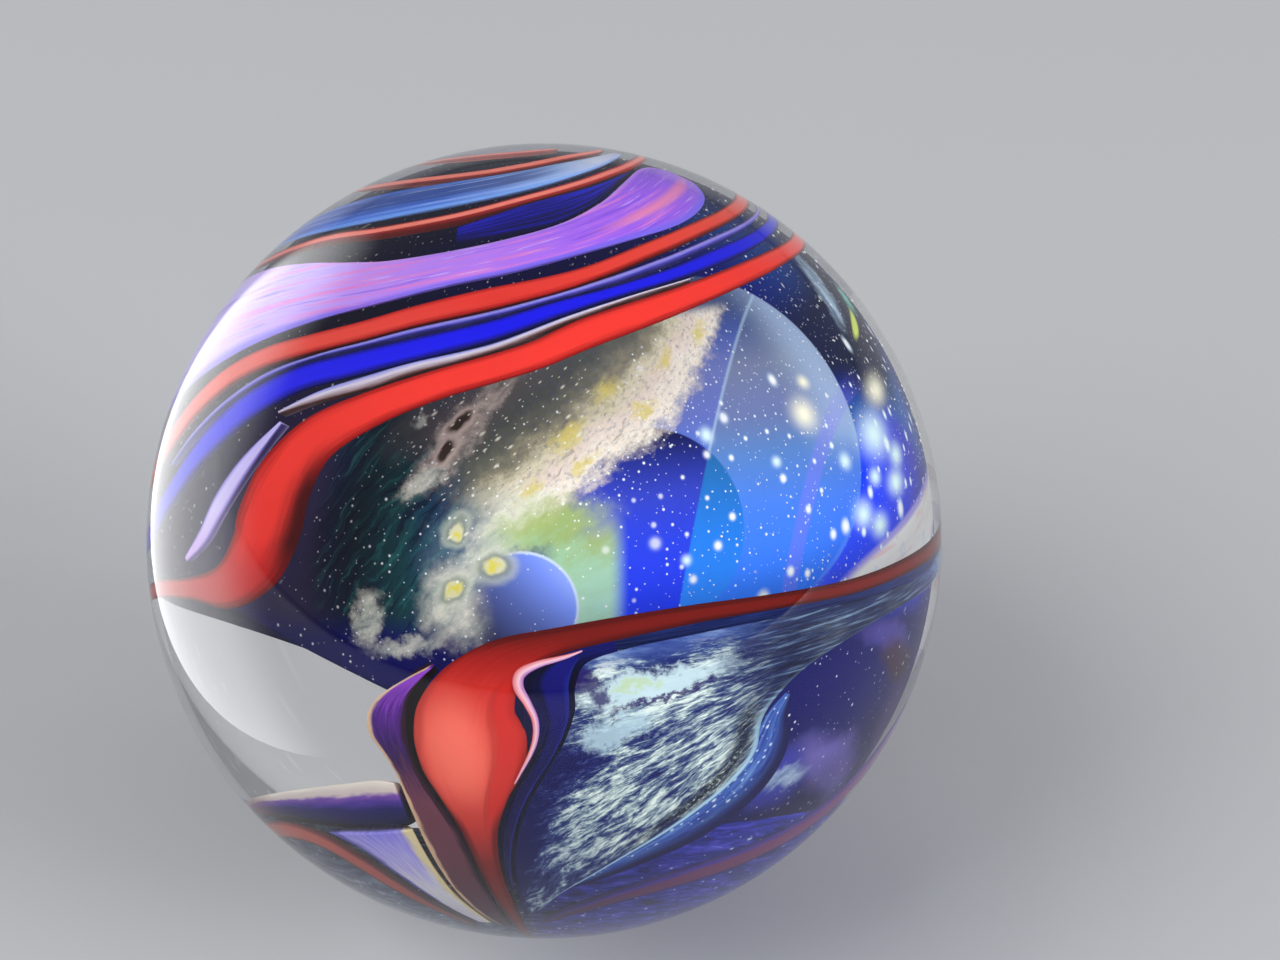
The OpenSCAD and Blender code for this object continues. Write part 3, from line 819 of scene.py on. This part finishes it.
def crown_blue_glass():
    """Blue glass with fine pale lines, dark in its upper middle and nearly white to the right."""
    p = paint("crown_blue_glass")
    run, across, width = p.band
    streak = p.noise(p.vector(p.times(run, 0.7), p.times(across, width, 0.5), 3.0), 2.6, 6.0, 0.65, 0.2)
    p.colour = p.ramp(
        p.lon,
        (-180, 36, 52, 150), (-100, 40, 66, 168), (-62, 66, 116, 222), (-30, 76, 126, 226),
        (4, 150, 182, 236), (26, 214, 226, 246), (60, 170, 186, 234), (180, 36, 52, 150),
    )
    p.lay((22, 32, 100), p.within(p.lon, -66, 2, 12), p.within(across, -0.3, 0.8, 0.3), 0.65)
    p.lay((176, 206, 250), p.step(streak, 0.52, 0.64), 0.6)
    p.lay((24, 34, 120), p.step(streak, 0.44, 0.34), 0.5)
    p.lay((120, 172, 248), p.step(across, -0.7, -0.9), 0.7)
    return p.glass()


def crown_navy_glass():
    """Deep navy glass with a cobalt gleam along it."""
    p = paint("crown_navy_glass")
    gleam = p.add(p.streak(1.2, 1.6, 3.0), p.times(p.band[1], 0.12))
    p.colour = p.ramp(gleam, (0.36, 8, 6, 70), (0.52, 14, 10, 128), (0.7, 30, 30, 200))
    return p.glass()


def streaked_glass():
    """Navy glass with pale torn streaks that fan out to the left, a white cloud and a pale far border."""
    p = paint("streaked_glass")
    lon = p.lon
    lat = p.lat
    across = p.band[1]

    # Fan: distance from its narrow end and angle about it
    reach_left = p.add(p.times(lon, -1.0), 48.0)
    drop = p.add(lat, 7.0)
    far = p.length(p.vector(reach_left, drop))
    angle = p.math("DEGREES", p.math("ARCTAN2", drop, reach_left))
    slow_far, slow_angle = p.drift(8.0, 16.0)
    fine_far, fine_angle = p.drift(40.0, 9.0, 6.0, 0.7)
    fan = p.vector(p.add(far, slow_far, fine_far), p.add(angle, p.times(slow_angle, 0.5), fine_angle))
    lines = p.vector(p.times(far, 0.2), p.times(p.add(angle, p.times(slow_angle, 0.25)), 0.62))
    torn = p.noise(lines, 1.2, 8.0, 0.7, 0.4)
    thread = p.noise(p.vector(p.times(far, 0.5), p.times(angle, 1.7)), 2.0, 5.0, 0.7)
    patchy = p.noise(p.spot, 7.0, 3.0, 0.5)

    # Streaks: most pale in the middle, thinner and bluer far to the left
    amount = p.add(
        torn, p.waver(patchy, 0.55), p.waver(thread, 0.45),
        p.times(p.oval(fan, 34, -26, 24, 14, 0, 0.7), 0.06),
        p.times(p.oval(fan, 50, -36, 9, 7, 0, 0.7), 0.06),
        p.times(p.step(across, -0.3, -0.95), p.step(lat, -20, -26), -0.24),
    )
    p.colour = p.ramp(
        amount,
        (0.36, 8, 10, 84), (0.47, 24, 36, 112), (0.54, 88, 108, 140), (0.61, 176, 196, 198),
        (0.7, 240, 250, 242),
    )
    bluer = p.ramp(amount, (0.36, 12, 16, 84), (0.5, 64, 84, 138), (0.62, 156, 178, 198))
    p.lay(bluer, p.step(far, 44, 62), 0.45)

    # Smooth haze under the red line
    smooth = p.ramp(
        p.noise(p.vector(p.times(far, 0.08), p.times(lat, 0.5)), 1.2, 6.0, 0.6),
        (0.34, 36, 50, 128), (0.5, 70, 94, 166), (0.66, 128, 156, 206),
    )
    p.lay(smooth, p.step(p.add(lat, p.times(lon, -0.12)), -13, -9.5), p.step(lon, 1, 7), 0.9)

    # White cloud with its green heart, and dark torn shapes: place in the fan, half sizes, softness, strength
    dusk = (40, 24, 100)
    shapes = [
        (34, -10.5, 11, 3.4, 0.4, 0.95, (206, 230, 236)), (35, -9.8, 3, 1, 0.7, 0.7, (196, 220, 158)),
        (41, -18, 6, 2.8, 0.5, 0.8, (188, 216, 228)), (41.5, -10.8, 2.2, 2, 0.5, 0.9, dusk),
        (44, -7.5, 2, 2.4, 0.5, 0.9, dusk), (31, -14.4, 8, 0.9, 0.5, 0.9, dusk),
    ]
    for *place, soft, strength, tint in shapes:
        p.lay(tint, p.oval(fan, *place, 0, soft), strength)

    # Dark speckled line inside the pale far border
    beads = p.noise(p.vector(p.times(far, 0.9), p.times(angle, 1.2)), 2.0, 4.0, 0.7)
    lower = p.times(p.step(lat, -15, -19), p.step(lat, -44, -34))
    p.lay((5, 6, 30), p.within(across, 0.7, 0.9, 0.08), p.step(beads, 0.6, 0.52), lower, 0.95)
    p.lay((176, 216, 236), p.within(across, 0.94, 1.0, 0.03))

    # Dark right end, beyond the narrow part of the fan
    dim = p.ramp(
        p.noise(p.vector(p.times(lon, 0.05), p.add(lat, p.times(lon, -0.16))), 2.0, 6.0),
        (0.4, 6, 9, 44), (0.54, 24, 40, 86), (0.68, 128, 156, 180),
    )
    p.lay(dim, p.step(far, 27, 13), 0.9)
    return p.glass()


def edged_glass(name, body, low_rim, high_rim, reach=0.8):
    """Strip whose body is coloured by latitude, with one rim colour on each border."""
    p = paint(name)
    place = p.add(p.band[1], p.waver(p.streak(5.0, 1.0, 3.0), 0.5))
    p.colour = p.ramp(p.add(p.lat, p.waver(p.streak(3.0, 3.0, 3.0, 6.0, 0.65), 24.0)), *body)
    p.lay(low_rim, p.step(place, -reach + 0.18, -reach - 0.06))
    p.lay(high_rim, p.step(place, reach - 0.18, reach + 0.06))
    return p.glass()


def foot_navy_glass():
    """Navy glass with a violet upper part and a cream upper rim that is a painted highlight, rosy at its left
    end.
    """
    p = paint("foot_navy_glass")
    # The cream stops at the upper border are a painted highlight along the edge
    p.colour = p.ramp(
        p.add(p.band[1], p.waver(p.streak(5.0, 1.0, 3.0), 0.6)),
        (-1, 8, 7, 56), (-0.2, 20, 17, 104), (0.1, 80, 50, 160), (0.4, 132, 84, 184), (0.62, 226, 212, 206),
        (1, 240, 232, 220),
    )
    p.lay((122, 62, 66), p.step(p.lon, -50, -66), 0.7)
    return p.glass()


def hook_glass():
    """Red ribbon, deep red, with painted shade on its right side where it is thick at the left."""
    p = paint("hook_red_glass")
    _, across, width = p.band
    waver = p.waver(p.streak(1.5, 2.0, 4.0), 0.5)
    p.colour = p.ramp(
        p.add(p.lat, p.times(waver, 10.0)),
        (-60, *DEEP_RED), (-8, *DEEP_RED), (1, 206, 44, 42), (5, 232, 58, 50), (26, 242, 60, 50),
        (45, 236, 54, 44), (62, *SALMON), (80, *SALMON),
    )
    # Darker rim: partly the glass thinning at its edges, partly painted shade of the rounded ribbon
    rim = p.ramp(
        p.lat,
        (-60, *DARK_RED), (-4, *DARK_RED), (6, 150, 16, 16), (30, *DEEP_RED), (52, *DARK_RED),
        (80, *DEEP_RED),
    )
    p.lay(rim, p.step(p.add(p.math("ABSOLUTE", across), waver), 0.5, 1.0))
    # Painted shade: the thick bulb is darkened on its right side
    thick = p.times(p.step(width, 2.6, 5.0), p.step(p.lat, -2, 5))
    p.lay((58, 5, 8), p.step(p.add(across, waver), -0.1, -0.85), thick, 0.95)
    return p.glass()


def lower_red_glass():
    """Dark red line that swells into a bright drop, with a painted salmon highlight in the drop and a deeper
    band on its right side that is painted shade.
    """
    p = paint("lower_red_glass")
    _, across, width = p.band
    lat = p.lat
    waver = p.waver(p.streak(1.5, 2.0, 4.0), 0.4)
    p.colour = p.ramp(
        p.add(lat, p.times(waver, 8.0)),
        (-74, *DARK_RED), (-44, 136, 28, 24), (-36, 206, 58, 48), (-28, 236, 84, 70), (-20, 234, 76, 64),
        (-14, 212, 50, 42), (-10, 170, 30, 26), (-7, 122, 22, 16), (4, 106, 18, 12), (36, *DEEP_RED),
        (50, *SALMON), (77, *SALMON),
    )
    wavy = p.vector(p.add(p.lon, p.times(waver, 6.0)), lat)
    # Painted highlight: a salmon patch on the drop's left
    p.lay((255, 128, 108), p.oval(wavy, -12.6, -23, 4.4, 7, 8, 0.7), 0.85)
    in_drop = p.within(lat, -36, -12, 4)
    # Painted shade: a deeper band and a thin dark line on the drop's right side
    p.lay((206, 34, 30), p.step(p.add(across, waver), -0.3, -0.5), in_drop, 0.75)
    p.lay((130, 12, 12), p.within(p.add(across, p.times(waver, 0.5)), -0.44, -0.34, 0.1), in_drop, 0.35)
    # Darker rim: partly the glass thinning at its edges, partly painted shade of the rounded line
    rim = p.ramp(
        lat,
        (-74, 60, 8, 10), (-30, 126, 16, 18), (-22, 140, 18, 18), (-10, *DARK_RED), (10, 54, 8, 8),
        (40, *DARK_RED), (77, *DEEP_RED),
    )
    edge = p.add(p.math("ABSOLUTE", across), p.times(p.step(width, 1.0, 5.0), -0.45), waver)
    p.lay(rim, p.step(edge, 0.3, 0.75))
    return p.glass()


def line_glass(name, low, middle, high):
    """Thin line with one colour at each border and one between."""
    p = paint(name)
    place = p.add(p.band[1], p.waver(p.streak(4.0, 1.0, 3.0, 4.0), 0.8))
    p.colour = p.ramp(place, (-1, *low), (0.1, *middle), (1, *high))
    return p.glass()


def shade_glass(name, dark, light):
    """Dim glass behind the narrow gaps, with faint streaks."""
    p = paint(name)
    p.colour = p.ramp(p.streak(2.0, 1.6, 3.0, 5.0, 0.65), (0.35, *dark), (0.65, *light))
    return p.glass()


def skirt_glass():
    """Blue glass beyond the streaked band, with pale specks near it, fading to navy outward."""
    p = paint("skirt_glass")
    across = p.band[1]
    streak = p.streak(2.0, 1.6, 3.0, 5.0, 0.65)
    p.colour = p.ramp(streak, (0.35, 20, 32, 130), (0.55, 70, 110, 196), (0.7, 130, 170, 220))
    near = p.step(across, 0.6, -0.6)
    p.lay((226, 244, 252), p.specks(p.vector(p.lon, p.lat), 1.1, 40, 1.5, 0.1, 0.4, near), 0.9)
    p.lay((10, 9, 74), p.step(p.add(across, p.waver(streak, 0.8)), -0.1, 0.8))
    return p.glass()


def star_glass():
    """White glass grains."""
    p = paint("star_glass")
    p.colour = p.ramp(p.noise(p.spot, 40.0), (0.4, 228, 236, 255), (0.6, 255, 250, 226))
    return p.glass()


def stars():
    """Grains of white glass set in the core's skin, most of them at the front and right."""
    rng = random.Random(7)
    points = []
    faces = []
    t = (1 + math.sqrt(5)) / 2
    corners = unit(np.array([
        (-1, t, 0), (1, t, 0), (-1, -t, 0), (1, -t, 0), (0, -1, t), (0, 1, t),
        (0, -1, -t), (0, 1, -t), (t, 0, -1), (t, 0, 1), (-t, 0, -1), (-t, 0, 1),
    ]))
    sides = [
        (0, 11, 5), (0, 5, 1), (0, 1, 7), (0, 7, 10), (0, 10, 11), (1, 5, 9), (5, 11, 4), (11, 10, 2),
        (10, 7, 6), (7, 1, 8), (3, 9, 4), (3, 4, 2), (3, 2, 6), (3, 6, 8), (3, 8, 9), (4, 9, 5), (2, 4, 11),
        (6, 2, 10), (8, 6, 7), (9, 8, 1),
    ]
    hollow = (HOLLOW_R + HOLLOW_WEB) * toward(HOLLOW_LON, HOLLOW_LAT)
    placed = 0
    while placed < GRAIN_COUNT:
        d = unit(np.array([rng.gauss(0, 1) for _ in range(3)]))
        if rng.random() > 0.12 + 0.88 * max(0, d[0]):
            continue
        if d[0] > 0.3 and d[2] < -0.1:
            continue
        size = GRAIN_R + GRAIN_SPREAD * rng.random() ** 5
        centre = d * (CORE_R + 0.2 * size)
        if np.linalg.norm(centre - hollow) < HOLLOW_R + 0.3 * MM:
            continue
        first = len(points)
        points.extend(centre + size * corners)
        faces += [tuple(first + k for k in side) for side in sides]
        placed += 1
    add_piece("stars", points, faces, None, star_glass())


casing()
core()
pad()
ribbon("hook", HOOK, "hook_ribbon", "hook_red_glass", hook_glass())
ribbon("cobalt", COBALT, "cobalt_ribbon", "cobalt_glass", cane(
    "cobalt_glass",
    [(-60, 16, 14, 130), (5, 40, 40, 200), (18, 48, 44, 236), (35, 22, 22, 232), (60, 20, 20, 200)],
    [(-60, *NAVY), (18, 20, 18, 150), (60, *NAVY)],
))
ribbon("upper_red", UPPER_RED, "upper_red_ribbon", "upper_red_glass", cane(
    "upper_red_glass",
    [(-60, *DEEP_RED), (10, 222, 90, 74), (24, 236, 96, 78), (40, 226, 58, 48), (54, 226, 70, 54),
     (70, *SALMON), (81, *SALMON)],
    [(-60, *DARK_RED), (20, 190, 50, 44), (40, *DEEP_RED), (56, *DARK_RED), (81, *DEEP_RED)],
))
sheet("violet", VIOLET, "violet_ribbon", "violet_glass", violet_glass(), cells=30)
ribbon("lower_red", LOWER_RED, "lower_red_ribbon", "lower_red_glass", lower_red_glass())
sheet("streaked", STREAKED, "streaked_ribbon", "streaked_glass", streaked_glass(), cells=48)
ribbon("crown_blue", CROWN_BLUE, "crown_blue_ribbon", "crown_blue_glass", crown_blue_glass())
sheet("crown_navy", CROWN_NAVY, "crown_navy_ribbon", "crown_navy_glass", crown_navy_glass())
sheet("plum_edge", PLUM_EDGE, "plum_edge", "plum_edge_glass", edged_glass(
    "plum_edge_glass",
    [(-64, 56, 18, 44), (-46, 106, 56, 72), (-31, 118, 64, 84), (-24, 44, 16, 84), (-17, 92, 36, 150),
     (-12, 152, 72, 212)],
    (232, 196, 160), (44, 10, 36), 0.82,
))
sheet("navy_edge", NAVY_EDGE, "navy_edge", "navy_edge_glass", edged_glass(
    "navy_edge_glass",
    [(-51, 14, 10, 70), (-25, 12, 10, 78), (-9, 16, 14, 120)],
    (10, 8, 70), (22, 30, 128),
))
ribbon("lilac_leaf", LILAC, "lilac_leaf", "leaf_lilac_glass", cane(
    "leaf_lilac_glass",
    [(0, 206, 170, 236), (8, 214, 204, 252), (21, 196, 190, 246)],
    [(0, 120, 100, 200), (21, 96, 92, 190)],
))
ribbon("foot_red", FOOT_RED, "foot_red_ribbon", "foot_red_glass", cane(
    "foot_red_glass",
    [(-65, 120, 30, 26), (-50, 186, 74, 60), (-42, 196, 84, 66)],
    [(-65, 50, 8, 10), (-42, *DARK_RED)],
))
sheet("foot_lilac", FOOT_LILAC, "foot_lilac_leaf", "foot_lilac_glass", edged_glass(
    "foot_lilac_glass",
    [(-62, 236, 232, 246), (-52, 240, 240, 250), (-45, 196, 190, 250), (-38, 148, 140, 246)],
    (110, 100, 200), (236, 222, 172),
))
sheet("foot_navy", FOOT_NAVY, "foot_navy_ribbon", "foot_navy_glass", foot_navy_glass())
ribbon("plum", PLUM, "plum_ribbon", "plum_glass", edged_glass(
    "plum_glass",
    [(-62, 44, 16, 74), (-46, 106, 42, 90), (-30, 122, 56, 120), (-16, 108, 68, 166), (-6, 70, 50, 140)],
    (60, 34, 130), (26, 22, 104),
))
lilac_line_glass = line_glass("lilac_line_glass", (70, 66, 180), (150, 144, 226), (84, 74, 150))
white_line_glass = line_glass("white_line_glass", (112, 84, 84), (214, 210, 222), (120, 132, 226))
pink_line_glass = line_glass("pink_line_glass", (224, 92, 100), (252, 208, 220), (160, 90, 190))
plum_shade = shade_glass("plum_shade", (20, 6, 24), (56, 16, 44))
navy_shade = shade_glass("navy_shade", (14, 16, 116), (30, 36, 166))
haze_shade = shade_glass("haze_shade", (12, 20, 92), (40, 62, 140))
ribbon("lilac_line", LILAC_LINE, "lilac_line", "lilac_line_glass", lilac_line_glass, cells=8)
ribbon("white_line", WHITE_LINE, "white_line", "white_line_glass", white_line_glass, cells=8)

# Trim: name, path, slot, glass, depth, lift, cells across
trims = [
    ("pink_line", PINK_LINE, "lower_red_glass", pink_line_glass, PINK_DEPTH, PINK_LIFT, 8),
    ("left_shade", LEFT_SHADE, "plum_edge_glass", plum_shade, FILM_DEPTH, FILM_LIFT, 8),
    ("right_shade", RIGHT_SHADE, "navy_edge_glass", navy_shade, FILM_DEPTH, FILM_LIFT, 8),
    ("foot_shade", FOOT_SHADE, "foot_navy_glass", plum_shade, FILM_DEPTH, FILM_LIFT, 8),
    ("under_red", UNDER_RED, "streaked_glass", haze_shade, FILM_DEPTH, FILM_LIFT - 0.15 * MM, 8),
    ("skirt", SKIRT, "streaked_glass", skirt_glass(), FILM_DEPTH, FILM_LIFT, 12),
]
for name, path, slot, material, depth, lift, cells in trims:
    ribbon(name, path, None, slot, material, depth=depth, lift=lift, cells=cells)
stars()


def floor():
    """Plain pale floor under the ball."""
    mesh = bpy.data.meshes.new("floor")
    corners = [(-1, -1), (1, -1), (1, 1), (-1, 1)]
    mesh.from_pydata([(x * FLOOR_HALF, y * FLOOR_HALF, -BALL_R) for x, y in corners], [], [(0, 1, 2, 3)])
    obj = bpy.data.objects.new("floor", mesh)
    bpy.context.scene.collection.objects.link(obj)
    p = paint("floor_paint")
    p.set("Principled BSDF", Base_Color=srgb(206, 207, 210), Roughness=0.8, Specular_IOR_Level=0.1)
    mesh.materials.append(p.owner)


def lamp(name, shape, place, turn, width, height, radiance):
    """Area lamp of even radiance, shining down its own axis."""
    data = bpy.data.lights.new(name, "AREA")
    data.shape = shape
    data.size = width
    data.size_y = height
    area = width * height * (math.pi / 4 if shape == "ELLIPSE" else 1)
    data.energy = radiance * math.pi * area
    obj = bpy.data.objects.new(name, data)
    bpy.context.scene.collection.objects.link(obj)
    obj.location = place
    obj.rotation_euler = turn
    return obj


def softbox(name, place, width, radiance):
    """Square lamp that lights the ball but does not show in its polish."""
    turn = (-Vector(place)).to_track_quat("-Z", "Y").to_euler()
    lamp(name, "RECTANGLE", place, turn, width, width, radiance).visible_glossy = False


def left_card():
    """Oval card at the left that fades toward its border and shows only in the polish."""
    place = (-34 * MM, 11 * MM, -8 * MM)
    along = Vector((0, 0.7, 0.71)).normalized()
    outward = Vector((-1, 0, 0))
    turn = Matrix((along, outward.cross(along), outward)).transposed().to_euler()
    card = lamp("left_card", "ELLIPSE", place, turn, 128 * MM, 60 * MM, 2.3)
    p = Paint(card.data)
    place = p.node("NewGeometry", {})["Parametric"]
    off_middle = p.vector_math("DISTANCE", place, (0.5, 0.5, 0))["Value"]
    p.set("Emission", Strength=p.step(off_middle, 0.5, 0.3))
    card.visible_diffuse = False
    card.visible_transmission = False
    card.visible_camera = False


def lights():
    """Soft studio light from both sides, one card for the polish, and a plain pale surround."""
    softbox("key", (-0.5, -0.24, 0.6), 0.5, 4.4)
    softbox("fill", (0.84, -0.4, 0.4), 0.5, 8.3)
    left_card()
    world = bpy.data.worlds.new("surround")
    bpy.context.scene.world = world
    Paint(world).set("Background", Color=(0.92, 0.96, 1.0, 1), Strength=0.27)


def camera():
    """Camera at the photo's angle, with the ball at its place and size in the picture."""
    elevation = math.radians(VIEW_UP)
    half_view = math.tan(math.asin(1 / VIEW_FAR)) * PICTURE_W / 2 / SEEN_R
    place = Vector((0, -math.cos(elevation), math.sin(elevation))) * (VIEW_FAR * BALL_R)
    data = bpy.data.cameras.new("camera")
    data.sensor_width = 36
    data.lens = data.sensor_width / 2 / half_view
    data.shift_x = (PICTURE_W / 2 - SEEN_X) / PICTURE_W
    data.shift_y = (SEEN_Y - PICTURE_H / 2) / PICTURE_W
    data.clip_start = 0.01
    obj = bpy.data.objects.new("camera", data)
    bpy.context.scene.collection.objects.link(obj)
    obj.location = place
    obj.rotation_euler = (-place).to_track_quat("-Z", "Y").to_euler()
    bpy.context.scene.camera = obj


floor()
lights()
camera()
bpy.context.scene.view_settings.view_transform = "Standard"
